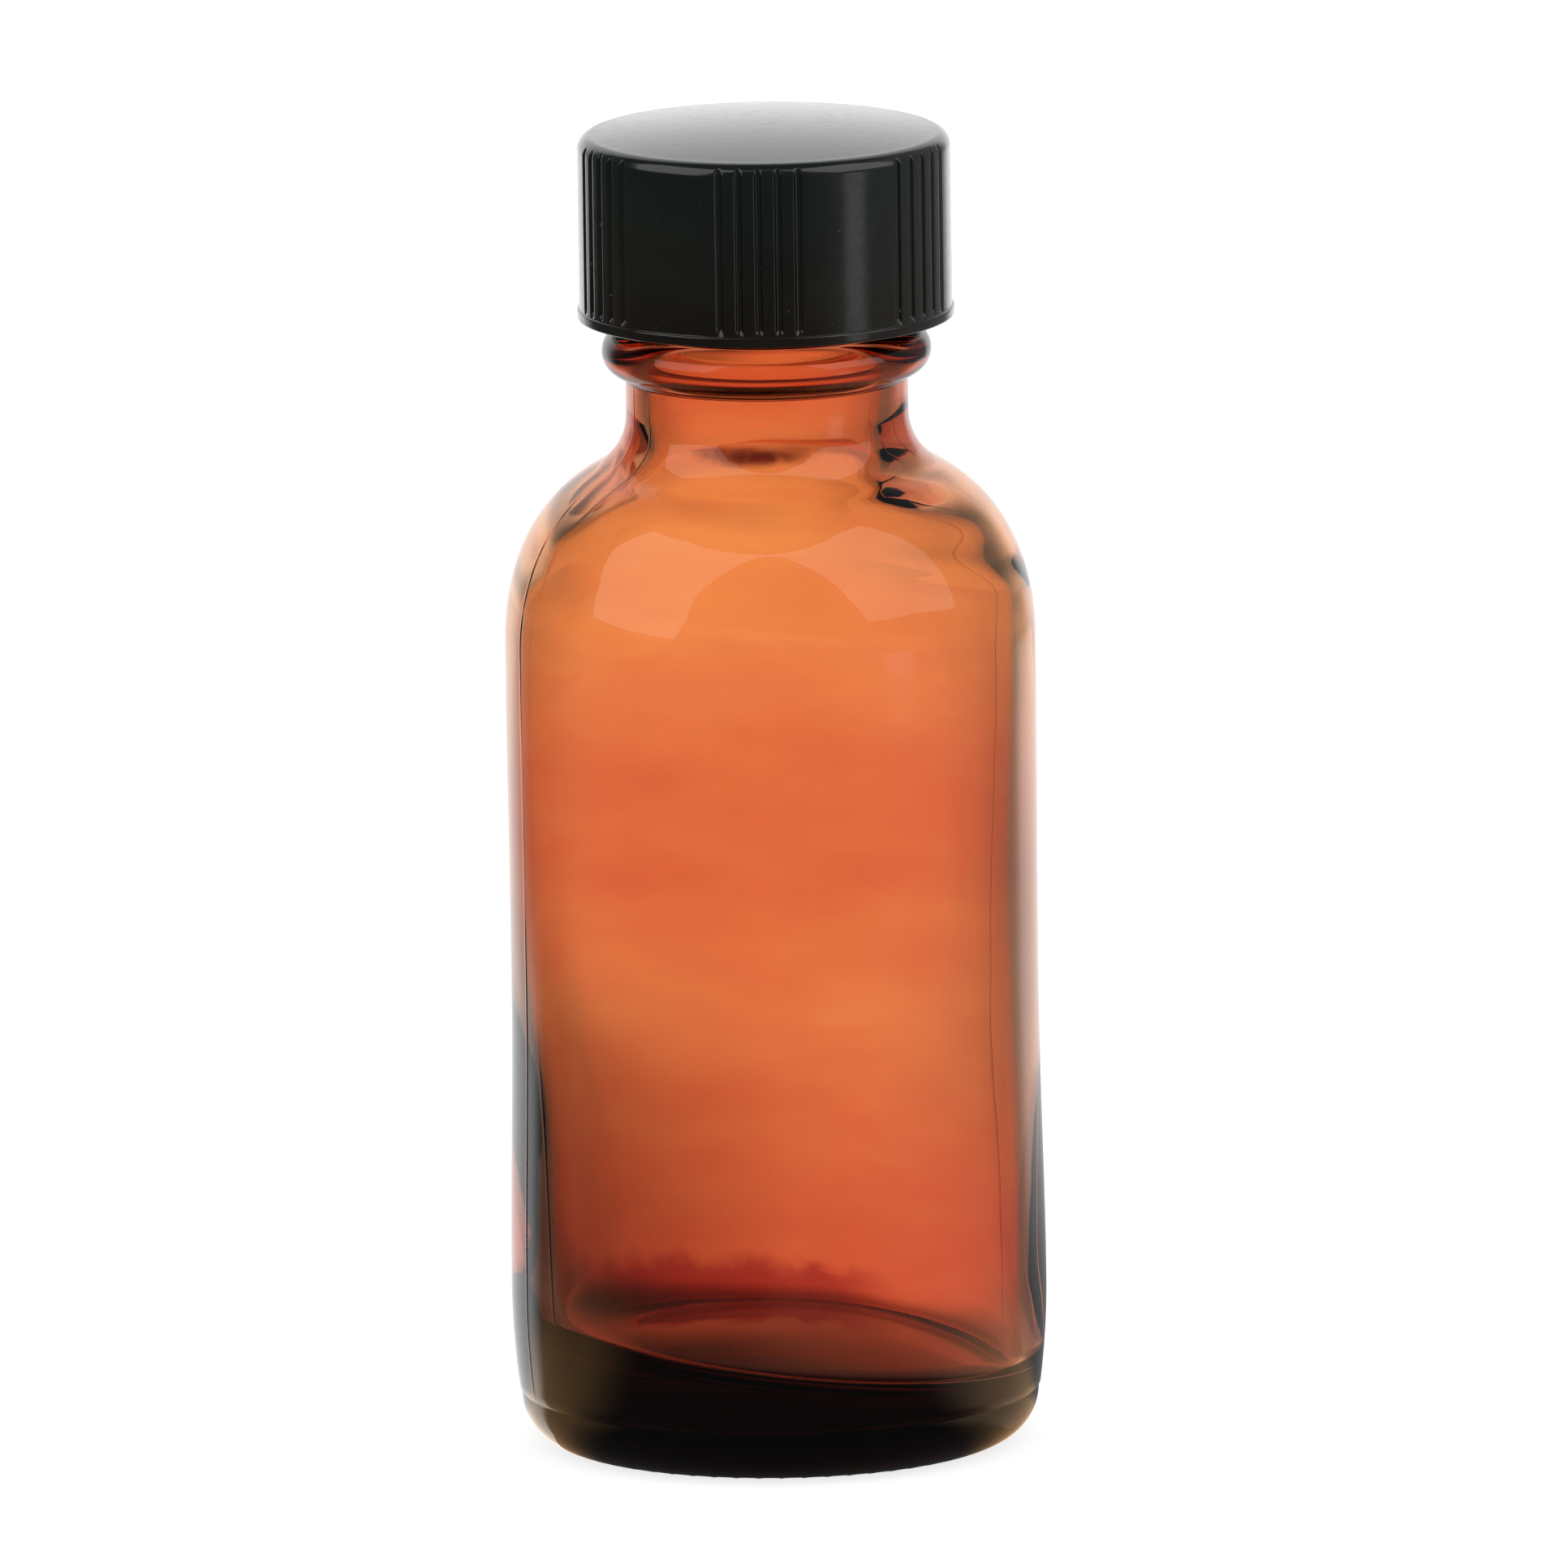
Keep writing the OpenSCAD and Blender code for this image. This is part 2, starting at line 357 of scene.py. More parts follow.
def thread_height(z, angles):
    """How far the helical thread stands over the plain wall at height z and each angle."""
    total = 360.0 * THREAD_TURNS
    height = np.zeros((len(z), len(angles)))
    middle_top = THREAD_TOP - THREAD_W / 2
    for lap in range(math.ceil(THREAD_TURNS) + 1):
        down = (THREAD_START_ANGLE - angles) % 360.0 + 360.0 * lap
        middle = middle_top - THREAD_PITCH * down / 360.0
        share = smooth(0, THREAD_RUN_OUT, down) * smooth(0, THREAD_RUN_OUT, total - down)
        off = np.abs(z[:, None] - middle[None, :]) / (THREAD_W / 2)
        ridge = 1 - smooth(THREAD_CREST, 1.0, off)
        height = np.maximum(height, ridge * share[None, :] * (down <= total))
    return height * (THREAD_R - WALL_R)


def between(fade_in, fade_out, z):
    """1 between two fades, each given by the two heights over which it happens."""
    return smooth(*fade_in, z) * (1 - smooth(*fade_out, z))


def raised(pair, height):
    return pair[0] + height, pair[1] + height


def seam_height(z, angles):
    """Height of the two mould seams, up the body and shoulder and again up the finish."""
    body = between(raised(SEAM_FADE_IN, PARTING_Z), raised(SEAM_FADE_OUT, BEAD_Z), z)
    finish = between(raised(FINISH_SEAM_FADE_IN, BEAD_Z + BEAD_R), FINISH_SEAM_FADE_OUT, z)
    across = np.zeros(len(angles))
    for seam in SEAM_ANGLES:
        off = np.radians(angle_from(angles, seam)) * WAIST_R
        across = across + bump_at(off, 0, SEAM_HALF_W)
    return SEAM_PROUD * (body + FINISH_SEAM * finish)[:, None] * across[None, :]


def stipple_lift(r, angles):
    """How far the knurled standing ring is cut up into the base between its teeth."""
    ring = between(raised(STIPPLE_IN, BEARING_IN), STIPPLE_OUT, r)
    teeth = 0.5 - 0.5 * np.cos(np.radians(angles) * STIPPLES)
    return STIPPLE_DEPTH * ring[:, None] * teeth[None, :]


# Thickness of the blown wall at some heights: height, left, right, front and back, in mm
WALL_STATIONS = ((5.0, 2.3, 1.4, 1.5), (12.0, 2.2, 1.4, 1.3), (19.0, 1.8, 1.35, 1.2),
                 (26.0, 1.1, 1.35, 1.05), (34.0, 0.95, 1.4, 1.25), (42.0, 0.9, 1.35, 1.15),
                 (48.0, 0.8, 1.3, 0.95), (52.0, 0.95, 1.4, 0.85), (59.0, 1.5, 2.15, 1.0),
                 (62.5, 1.5, 1.9, 1.05), (66.0, 1.15, 1.25, 1.1), (80.0, 1.5, 1.5, 1.5))
# The stations are joined by a curve of so many points, softened over so many of them
CURVE_POINTS = 400
CURVE_SOFTENING = 41
# Waves of the blown wall: size in mm, lobes round the bottle, phase in radians, and the heights
# in mm over which it turns and swells by a radian, 0 where it doesn't
WALL_WAVES = ((0.10, 2, 0.6, 0, 7.5), (0.07, 3, -1.1, 11.0, 0), (0.05, 5, 2.0, -6.0, 0))
SHOULDER_WAVE = (0.10, 4, 0.0, 1.6, 1.1)
# Heights over which the waves and the shoulder's own wave begin, the waves end, and the uneven
# wall gives way to the even finish
WAVES_FROM = (6.5, 12.0)
SHOULDER_WAVE_FROM = (50.0, 54.0)
WAVES_TO = (60.0, 65.0)
BLOWN_TO = (66.0, 70.0)
# The inner floor's radius, and how far its circle stands off to the right of the axis
FLOOR_EDGE = 11.95
FLOOR_DRIFT = 1.9
# The inner floor rises to the left by this slope, which fades out up the wall to this height
FLOOR_TILT = 0.10
TILT_TOP = 15.0


def station_curve(column, z):
    """A smooth curve through one column of the wall stations."""
    heights = np.array([s[0] for s in WALL_STATIONS])
    values = np.array([s[column] for s in WALL_STATIONS])
    fine = np.linspace(heights[0], heights[-1], CURVE_POINTS)
    rough = np.pad(np.interp(fine, heights, values), CURVE_SOFTENING // 2, mode="edge")
    kernel = np.hanning(CURVE_SOFTENING)
    soft = np.convolve(rough, kernel / kernel.sum(), mode="valid")
    return np.interp(z, fine, soft)


def wave(turn, high, size, lobes, phase, twist, swelling):
    """One wave of the wall at each angle and height."""
    along = high / twist if twist else 0.0
    rise = np.sin(high / swelling) if swelling else 1.0
    return size * np.sin(lobes * turn + phase + along) * rise


def wall_waves(z, angles):
    """Slow unevenness of the blown wall, in mm of thickness."""
    turn = np.radians(angles)[None, :]
    high = z[:, None]
    waves = sum(wave(turn, high, *row) for row in WALL_WAVES)
    waves = waves + smooth(*SHOULDER_WAVE_FROM, high) * wave(turn, high, *SHOULDER_WAVE)
    return waves * between(WAVES_FROM, WAVES_TO, high)


def outward(points):
    """Unit normals of the inside's outline, pointing into the glass."""
    along = np.gradient(points, axis=0)
    normal = np.column_stack([-along[:, 1], along[:, 0]])
    return normal / np.linalg.norm(normal, axis=1)[:, None]


def wall_thickness(z, angles):
    """Thickness of the wall at each height and angle, from its four sides and the slow waves."""
    turn = np.radians(angles)[None, :]
    left, right, ends = (station_curve(column, z)[:, None] for column in (1, 2, 3))
    even = (left + right + 2 * ends) / 4
    lean = (right - left) / 2 * np.cos(turn)
    oval = (left + right - 2 * ends) / 4 * np.cos(2 * turn)
    return even + lean + oval + wall_waves(z, angles)


def floor_edge(angles):
    """Radius from the axis at which the inner floor ends, its circle standing off to the right."""
    turn = np.radians(angles)[None, :]
    sideways = FLOOR_DRIFT * np.sin(turn)
    return FLOOR_DRIFT * np.cos(turn) + np.sqrt(FLOOR_EDGE ** 2 - sideways ** 2)


def blown_inside(inside, angles):
    """Radii and heights of the real, uneven inside."""
    height = inside[:, 1]
    normal = outward(inside)
    corner_top = FLOOR_Z + FLOOR_CORNER
    blown = 1 - smooth(*BLOWN_TO, height)
    thicker = (wall_thickness(height, angles) - BODY_WALL) * blown[:, None]
    r = inside[:, :1] - thicker * normal[:, :1]
    z = inside[:, 1:] - thicker * normal[:, 1:]
    even_wall = BELLY_R - BODY_WALL
    even_floor = even_wall - FLOOR_CORNER
    foot_wall = even_wall - wall_thickness(np.array([corner_top]), angles) + BODY_WALL
    edge = floor_edge(angles)
    share = (inside[:, :1] - even_floor) / FLOOR_CORNER
    corner = edge + (foot_wall - edge) * share
    low = (height < corner_top)[:, None]
    r = np.where(low & (share > 0), corner, r)
    r = np.where(low & (share <= 0), inside[:, :1] / even_floor * edge, r)
    z = np.where(low, inside[:, 1:], z)
    lift = 1 - smooth(FLOOR_Z + FLOOR_CROWN, TILT_TOP, inside[:, 1:])
    tilt = -FLOOR_TILT * r * np.cos(np.radians(angles))[None, :] * lift
    return r, z + tilt


def bottle_piece():
    """The glass as one closed mesh: outside with thread, seams and knurling, and uneven inside."""
    dense = [seam + spread for seam in SEAM_ANGLES for spread in SEAM_SPREAD]
    angles = turned_angles(BOTTLE_SIDES, dense)
    outside = glass_outside()
    r, z = outside[:, 0], outside[:, 1]
    out_r = np.repeat(outside[:, :1], len(angles), axis=1)
    out_z = np.repeat(outside[:, 1:], len(angles), axis=1)
    on_finish = (z > BEAD_Z + BEAD_R + 1e-6)[:, None]
    on_base = (z < HEEL_R)[:, None]
    out_r = out_r + on_finish * thread_height(z, angles) + seam_height(z, angles)
    out_z = out_z + on_base * stipple_lift(r, angles)
    in_r, in_z = blown_inside(glass_inside(), angles)
    return turned_mesh("bottle_glass", np.vstack([out_r, in_r]), np.vstack([out_z, in_z]), angles)


# ---------------------------------------------------------------- cap

def cap_outline():
    """The cap's section: seat, bore, rim, collar, panel, top edge and the slightly domed top."""
    step = CAP_STEP
    seat = SEAT_Z + LAND_GAP
    seat_r = CAP_BORE_R - SEAT_CORNER
    rim_top = CAP_FOOT + RIM_BEVEL
    rim_r = CAP_BORE_R + RIM_BEVEL
    top_edge = CAP_TOP - CAP_DOME
    collar_top = CAP_FOOT + COLLAR_H
    collar_r = CAP_R + COLLAR_PROUD
    edge_r = collar_r - COLLAR_BEVEL
    side_foot = collar_top + COLLAR_SLOPE
    scoop_top = collar_top + SCOOP_ROWS
    corner = top_edge - CAP_CORNER
    crown = dome(CAP_R - CAP_CORNER, top_edge, CAP_DOME, step["top"])[::-1]
    return joined(line(0, seat, seat_r, seat, step["seat"]),
                  arc(seat_r, seat - SEAT_CORNER, SEAT_CORNER, 90, 0, step["seat_corner"]),
                  line(CAP_BORE_R, SEAT_Z - SEAT_CORNER, CAP_BORE_R, rim_top, step["bore"]),
                  line(CAP_BORE_R, rim_top, rim_r, CAP_FOOT, step["rim"]),
                  line(rim_r, CAP_FOOT, edge_r, CAP_FOOT, step["rim"]),
                  arc(edge_r, CAP_FOOT + COLLAR_BEVEL, COLLAR_BEVEL, -90, 0, step["collar_edge"]),
                  line(collar_r, CAP_FOOT + COLLAR_BEVEL,
                       collar_r, collar_top - COLLAR_BEVEL, step["collar"]),
                  arc(edge_r, collar_top - COLLAR_BEVEL, COLLAR_BEVEL, 0, 90, step["collar_edge"]),
                  line(edge_r, collar_top, CAP_R, side_foot, step["collar_top"]),
                  line(CAP_R, side_foot, CAP_R, scoop_top, step["scoop"]),
                  line(CAP_R, scoop_top, CAP_R, corner, step["side"]),
                  arc(CAP_R - CAP_CORNER, corner, CAP_CORNER, 0, 90, step["corner"]),
                  crown)


def flute_middles():
    """Angle of the middle of every flute, in degrees."""
    for group in range(FLUTE_GROUPS):
        for flute in range(FLUTES_IN_GROUP):
            middle = FLUTE_PHASE + group * 360.0 / FLUTE_GROUPS
            yield middle + (flute - (FLUTES_IN_GROUP - 1) / 2) * FLUTE_STEP


def flute_floor(z, angles):
    """Radius that the flutes are cut to at each height and angle: they start in a scoop over the
    collar and run out through the rounded top edge."""
    foot = CAP_FOOT + COLLAR_H + FLUTE_LOW
    along = smooth(*raised(FLUTE_SCOOP, foot), z)
    across = np.zeros(len(angles))
    for middle in flute_middles():
        off = np.radians(angle_from(angles, middle)) * CAP_R / (FLUTE_W / 2)
        across = np.maximum(across, 1 - smooth(*FLUTE_ROUND, np.abs(off)))
    return CAP_R - FLUTE_DEPTH * along[:, None] * across[None, :]


def flute_angles():
    """Angles, in degrees, that the flutes' edges and floors need."""
    width = math.degrees(FLUTE_W / CAP_R)
    return [middle + spread * width for middle in flute_middles() for spread in FLUTE_SPREAD]


def cap_piece():
    """The cap as one closed mesh, with the flutes cut into its side and top edge."""
    angles = turned_angles(CAP_SIDES, flute_angles())
    outline = cap_outline()
    r = np.repeat(outline[:, :1], len(angles), axis=1)
    z = np.repeat(outline[:, 1:], len(angles), axis=1)
    on_side = outline[:, 0] > CAP_R - CAP_CORNER
    over_collar = outline[:, 1] > CAP_FOOT + COLLAR_H + COLLAR_SLOPE / 2
    cut = np.minimum(r, flute_floor(outline[:, 1], angles))
    r = np.where((on_side & over_collar)[:, None], cut, r)
    return turned_mesh("screw_cap", r, z, angles)


# ---------------------------------------------------------------- shader helper

class Shader:
    """Adds nodes to a tree and links them in one call each."""

    # Places of the two colours and of the result among a colour Mix node's sockets
    COLOUR_A, COLOUR_B, COLOUR_OUT = 6, 7, 2

    def __init__(self, tree):
        self.tree = tree
        tree.nodes.clear()

    def add(self, kind, inputs=None, **settings):
        node = self.tree.nodes.new(kind)
        for key, value in settings.items():
            setattr(node, key, value)
        for key, value in (inputs or {}).items():
            self.feed(node.inputs[key], value)
        return node

    def feed(self, socket, value):
        if isinstance(value, bpy.types.NodeSocket):
            self.tree.links.new(value, socket)
        else:
            socket.default_value = value

    def math(self, operation, a, b=0.0, clamp=False):
        node = self.add("ShaderNodeMath", {0: a, 1: b}, operation=operation, use_clamp=clamp)
        return node.outputs[0]

    def smooth(self, value, low, high, to_low=0.0, to_high=1.0):
        node = self.add("ShaderNodeMapRange",
                        {"Value": value, "From Min": low, "From Max": high,
                         "To Min": to_low, "To Max": to_high},
                        interpolation_type="SMOOTHSTEP")
        return node.outputs["Result"]

    def mix(self, factor, a, b, blend="MIX"):
        node = self.add("ShaderNodeMix", {0: factor, self.COLOUR_A: a, self.COLOUR_B: b},
                        data_type="RGBA", blend_type=blend)
        return node.outputs[self.COLOUR_OUT]

    def mix_number(self, factor, a, b):
        node = self.add("ShaderNodeMix", {0: factor, 2: a, 3: b}, data_type="FLOAT")
        return node.outputs[0]

    def noise(self, vector, scale, detail=3.0, roughness=0.5):
        node = self.add("ShaderNodeTexNoise",
                        {"Vector": vector, "Scale": scale, "Detail": detail,
                         "Roughness": roughness})
        return node.outputs["Fac"]


def new_material(name):
    material = bpy.data.materials.new(name)
    material.use_nodes = True
    return material, Shader(material.node_tree)


def grey(level):
    return (level, level, level, 1.0)


# ---------------------------------------------------------------- materials of the object
# Scales of noise are per metre, distances of bump in metres

GLASS_IOR = 1.52
# Heights between which the cap's black turns from warm to cold, in mm
CAP_WARM_Z = 71.0
CAP_COLD_Z = 80.0
# Colour that one wall gives where the glass is blown thin and where it is thick, and the colour
# and density of the absorption in its depth
GLASS_THIN = (1.0, 0.56, 0.285, 1.0)
GLASS_THICK = (0.84, 0.31, 0.182, 1.0)
GLASS_DEPTH_TINT = (0.92, 0.74, 0.68, 1.0)
# Density in the thick base, the blown wall and the neck and finish, and the heights in mm over
# which one gives way to the next
BASE_DENSITY = 2400.0
WALL_DENSITY = 150.0
NECK_DENSITY = 700.0
BASE_TOP = (4.6, 6.0)
NECK_FROM = (59.0, 64.5)
# How thin the glass is at some heights: height in mm, share. The streaks change it by this much
THIN_STATIONS = ((6.0, 0.0), (14.0, 0.04), (19.0, 0.26), (24.0, 0.54), (29.0, 0.63), (34.0, 0.32),
                 (39.0, 0.27), (44.5, 0.47), (50.0, 0.78), (57.0, 1.0), (62.0, 0.75), (66.0, 0.50),
                 (69.0, 0.42))
THIN_STREAKS = 0.7
# Painted shade in front under the neck, a dark patch for the dark the glass reflects and refracts
# there: its middle and reach sideways and up, and how far in front of the axis it fades in, in mm
NECK_SHADE_AT = (-0.8, 63.05)
NECK_SHADE_REACH = (4.6, 0.75)
NECK_SHADE_FRONT = (-2.0, -5.0)
# Ragged distances from the patch's middle, in shares of its reach, over which it fades out
NECK_SHADE_FADE = (0.5, 1.4)
NECK_SHADE_TINT = (0.14, 0.05, 0.09, 1.0)
# A red tint on the inner floor and, ragged, on the wall's foot: the heights over which it fades
# out, how far its edge wanders, where it fades in from the front and out to the right, in mm
FOOT_RED_TOP = (6.7, 8.2)
FOOT_RED_WANDER = 3.6
FOOT_RED_BEHIND = (-13.0, -9.0)
FOOT_RED_RIGHT = (2.5, 9.0)
FOOT_RED_TINT = (0.62, 0.26, 0.42, 1.0)
RIPPLE_STRENGTH = 0.25
RIPPLE_HEIGHT = 0.00003


def in_metres(pair):
    return pair[0] * MM, pair[1] * MM


def glass_thinness(shader, place, height):
    """Share of thin glass at each height, with slow streaks as the blown wall has."""
    ramp = shader.add("ShaderNodeValToRGB", {0: shader.math("DIVIDE", height, GLASS_H * MM)})
    ramp.color_ramp.interpolation = "B_SPLINE"
    stops = ramp.color_ramp.elements
    stops.remove(stops[1])
    stops[0].position = THIN_STATIONS[0][0] / GLASS_H
    stops[0].color = grey(THIN_STATIONS[0][1])
    for station, share in THIN_STATIONS[1:]:
        stop = stops.new(station / GLASS_H)
        stop.color = grey(share)
    stretched = shader.add("ShaderNodeMapping", {"Vector": place, "Scale": (1.0, 1.0, 3.0)})
    streak = shader.noise(stretched.outputs[0], 110.0, detail=4.0)
    change = shader.math("MULTIPLY", shader.math("SUBTRACT", streak, 0.5), THIN_STREAKS)
    return shader.math("ADD", ramp.outputs[0], change, clamp=True)


def painted_neck_shade(shader, place, parts):
    """1 in the ragged patch of painted shade in front under the neck."""
    side, behind, up = parts.outputs
    side = shader.math("SUBTRACT", side, NECK_SHADE_AT[0] * MM)
    up = shader.math("SUBTRACT", up, NECK_SHADE_AT[1] * MM)
    side = shader.math("DIVIDE", side, NECK_SHADE_REACH[0] * MM)
    up = shader.math("DIVIDE", up, NECK_SHADE_REACH[1] * MM)
    side = shader.math("MULTIPLY", side, side)
    up = shader.math("MULTIPLY", up, up)
    ragged = shader.math("ADD", shader.math("ADD", side, up),
                         shader.noise(place, 700.0, detail=4.0))
    tint_share = shader.smooth(ragged, *NECK_SHADE_FADE, 1.0, 0.0)
    return shader.math("MULTIPLY", tint_share, shader.smooth(behind, *in_metres(NECK_SHADE_FRONT)))


def over_slope(shader, parts):
    """Height, as if the sloping inner floor were level."""
    slope = shader.math("MULTIPLY", parts.outputs[0], FLOOR_TILT)
    return shader.math("ADD", parts.outputs[2], slope)


def foot_red_tint(shader, place, parts):
    """1 on the inner floor and where the red tint runs, ragged, up into the wall."""
    side, behind, up = parts.outputs
    wander = shader.math("SUBTRACT", shader.noise(place, 420.0, detail=4.0), 0.5)
    wander = shader.math("MULTIPLY", wander, FOOT_RED_WANDER * MM)
    level = shader.math("ADD", over_slope(shader, parts), wander)
    tint_share = shader.smooth(level, *in_metres(FOOT_RED_TOP), 1.0, 0.0)
    behind = shader.smooth(behind, *in_metres(FOOT_RED_BEHIND))
    right = shader.smooth(side, *in_metres(FOOT_RED_RIGHT), 1.0, 0.0)
    return shader.math("MULTIPLY", shader.math("MULTIPLY", tint_share, behind), right)


def depth_density(shader, parts):
    """Density of the absorption: more in the neck, and most in the thick base, whose top slopes
    with the inner floor."""
    base = shader.smooth(over_slope(shader, parts), *in_metres(BASE_TOP),
                         BASE_DENSITY - WALL_DENSITY, 0.0)
    neck = shader.smooth(parts.outputs[2], *in_metres(NECK_FROM), WALL_DENSITY, NECK_DENSITY)
    return shader.math("ADD", base, neck)


def amber_glass():
    material, shader = new_material("amber_glass")
    place = shader.add("ShaderNodeTexCoord").outputs["Object"]
    parts = shader.add("ShaderNodeSeparateXYZ", {0: place})
    tint = shader.mix(glass_thinness(shader, place, parts.outputs[2]), GLASS_THICK, GLASS_THIN)
    # Painted shade: the dark patch under the neck darkens the glass's colour
    tint = shader.mix(painted_neck_shade(shader, place, parts), tint, NECK_SHADE_TINT, blend="MULTIPLY")
    tint = shader.mix(foot_red_tint(shader, place, parts), tint, FOOT_RED_TINT, blend="MULTIPLY")
    slow = shader.noise(place, 260.0, detail=1.0)
    ripple = shader.add("ShaderNodeBump", {"Height": slow, "Strength": RIPPLE_STRENGTH,
                                           "Distance": RIPPLE_HEIGHT})
    glass = shader.add("ShaderNodeBsdfPrincipled",
                       {"Base Color": tint, "Roughness": 0.0, "IOR": GLASS_IOR,
                        "Transmission Weight": 1.0, "Normal": ripple.outputs[0]})
    body = shader.add("ShaderNodeVolumeAbsorption",
                      {"Color": GLASS_DEPTH_TINT, "Density": depth_density(shader, parts)})
    shader.add("ShaderNodeOutputMaterial",
               {"Surface": glass.outputs[0], "Volume": body.outputs[0]})
    return material


# Black of the cap, warm near its rim and cold near its top, each in two clouded tones
CAP_WARM = ((0.007, 0.005, 0.003, 1.0), (0.011, 0.009, 0.006, 1.0))
CAP_COLD = ((0.005, 0.010, 0.008, 1.0), (0.008, 0.012, 0.009, 1.0))
CAP_CLOUDS = (0.35, 0.65)
CAP_DUST = (0.14, 0.13, 0.11, 1.0)
CAP_DUST_SHARE = 0.4
CAP_ROUGHNESS = (0.12, 0.24)
PHENOLIC_IOR = 1.58
POLISH_IOR = 1.3
# Pulpboard and film: the two tones of each, and the board's flecks
BOARD_TONES = ((0.42, 0.33, 0.22, 1.0), (0.60, 0.50, 0.36, 1.0))
BOARD_FLECK = (0.22, 0.16, 0.1, 1.0)
FILM_TONES = ((0.70, 0.69, 0.65, 1.0), (0.80, 0.79, 0.76, 1.0))
FILM_ROUGHNESS = (0.28, 0.42)
# Middle part of a noise that its two tones are spread over
SPREAD = (0.3, 0.7)


def phenolic():
    material, shader = new_material("black_phenolic")
    place = shader.add("ShaderNodeTexCoord").outputs["Object"]
    height = shader.add("ShaderNodeSeparateXYZ", {0: place}).outputs[2]
    cloud = shader.smooth(shader.noise(place, 180.0, detail=2.0), *CAP_CLOUDS)
    tone = shader.mix(shader.smooth(height, CAP_WARM_Z * MM, CAP_COLD_Z * MM),
                      shader.mix(cloud, *CAP_WARM), shader.mix(cloud, *CAP_COLD))
    dust = shader.smooth(shader.noise(place, 2600.0, detail=0.0), 0.83, 0.88)
    colour = shader.mix(shader.math("MULTIPLY", dust, CAP_DUST_SHARE), tone, CAP_DUST)
    fine = shader.noise(place, 1400.0, detail=3.0)
    rough = shader.smooth(fine, 0.3, 0.8, *CAP_ROUGHNESS)
    relief = shader.add("ShaderNodeBump", {"Height": fine, "Strength": 0.15, "Distance": 0.00004})
    shell = shader.add("ShaderNodeBsdfPrincipled",
                       {"Base Color": colour, "Roughness": rough, "IOR": PHENOLIC_IOR,
                        "Coat Weight": 1.0, "Coat IOR": POLISH_IOR, "Coat Roughness": 0.12,
                        "Normal": relief.outputs[0], "Coat Normal": relief.outputs[0]})
    shader.add("ShaderNodeOutputMaterial", {"Surface": shell.outputs[0]})
    return material


def pulpboard():
    material, shader = new_material("pulpboard")
    place = shader.add("ShaderNodeTexCoord").outputs["Object"]
    stretched = shader.add("ShaderNodeMapping", {"Vector": place, "Scale": (1.0, 1.0, 3.0)})
    fibre = shader.noise(stretched.outputs[0], 1500.0, detail=4.0, roughness=0.7)
    flecks = shader.noise(place, 700.0, detail=2.0)
    colour = shader.mix(shader.smooth(fibre, *SPREAD), *BOARD_TONES)
    colour = shader.mix(shader.smooth(flecks, 0.62, 0.7), colour, BOARD_FLECK)
    relief = shader.add("ShaderNodeBump", {"Height": fibre, "Strength": 0.5, "Distance": 0.0001})
    board = shader.add("ShaderNodeBsdfPrincipled",
                       {"Base Color": colour, "Roughness": 0.9, "Normal": relief.outputs[0]})
    shader.add("ShaderNodeOutputMaterial", {"Surface": board.outputs[0]})
    return material


def liner_film():
    material, shader = new_material("liner_film")
    place = shader.add("ShaderNodeTexCoord").outputs["Object"]
    haze = shader.noise(place, 300.0, detail=3.0)
    colour = shader.mix(shader.smooth(haze, *SPREAD), *FILM_TONES)
    ring = shader.noise(place, 1200.0, detail=2.0)
    rough = shader.smooth(ring, *SPREAD, *FILM_ROUGHNESS)
    relief = shader.add("ShaderNodeBump", {"Height": haze, "Strength": 0.3, "Distance": 0.00008})
    film = shader.add("ShaderNodeBsdfPrincipled",
                      {"Base Color": colour, "Roughness": rough, "Normal": relief.outputs[0]})
    shader.add("ShaderNodeOutputMaterial", {"Surface": film.outputs[0]})
    return material


# ---------------------------------------------------------------- room

FLOOR_HALF = 3.0
FLOOR_LEVEL = -0.00003
FLOOR_GLOW = 0.80
FLOOR_SHADE = 0.40
# Through the glass, the table is dark close to the bottle, a painted shadow of it, and white from
# here on, in metres
FOOT_DARK = 0.012
FOOT_CLEAR = 0.026
# Azimuths are in degrees from straight behind the bottle, right positive. In gloss the sweep
# fades in on the left and out on the right, over other angles near the bottle than far from it,
# as seen from the bottle's two sides, SIDE_AT metres beside and behind the axis
SIDE_AT = (0.0155, -0.004)
SWEEP_REACH = (-90.0, -80.0, 80.0, 90.0)
LEFT_NEAR = (-60.0, -44.0)
LEFT_FAR = (-50.0, -26.0)
RIGHT_NEAR = (52.0, 38.0)
RIGHT_FAR = (36.0, 22.0)
# Distances from the bottle's axis over which near turns to far, in metres
LEFT_TURN = (0.13, 0.20)
RIGHT_TURN = (0.22, 0.36)
# In gloss the table on the right, from these azimuths on, darkens towards the bottle's foot in a
# painted shadow of the bottle
FOOT_GLOSS_RIGHT = (-10.0, 10.0)
FOOT_GLOSS = (0.03, 0.17)
FOOT_GLOSS_DARK = 0.2
# Height of the sky over which the sweep loses light, and what is left of it, as sines
SWEEP_UP = (0.05, 0.42)
SWEEP_HIGH = 0.7
# A dim upright strip on the right, seen in the cap
STRIP = (114.0, 119.0, 127.0, 134.0)
STRIP_GLOW = 0.5
# Seen through the glass, two dark flags stand beside the white sweep, with soft sides
LEFT_FLAG = (-84.0, -70.0, -44.0, -18.0)
RIGHT_FLAG = (14.0, 42.0, 62.0, 78.0)
FLAG_LEVEL = 0.3
# Seen through the glass, the table is a little less bright away from straight behind, over these
# azimuths to either side and from these distances on, in metres
SWEEP_FALL = (3.0, 17.0, 80.0, 95.0)
SWEEP_FALL_FROM = (0.07, 0.13)
SWEEP_SIDE = 0.80
# Seen through the glass, the table is dark on the left near the bottle: where the dark fades in
# to the left and towards the bottle, in metres, and how deep it is
PATCH_SIDE = (0.006, -0.022)
PATCH_REACH = (0.20, 0.06)
PATCH_DARK = 0.55
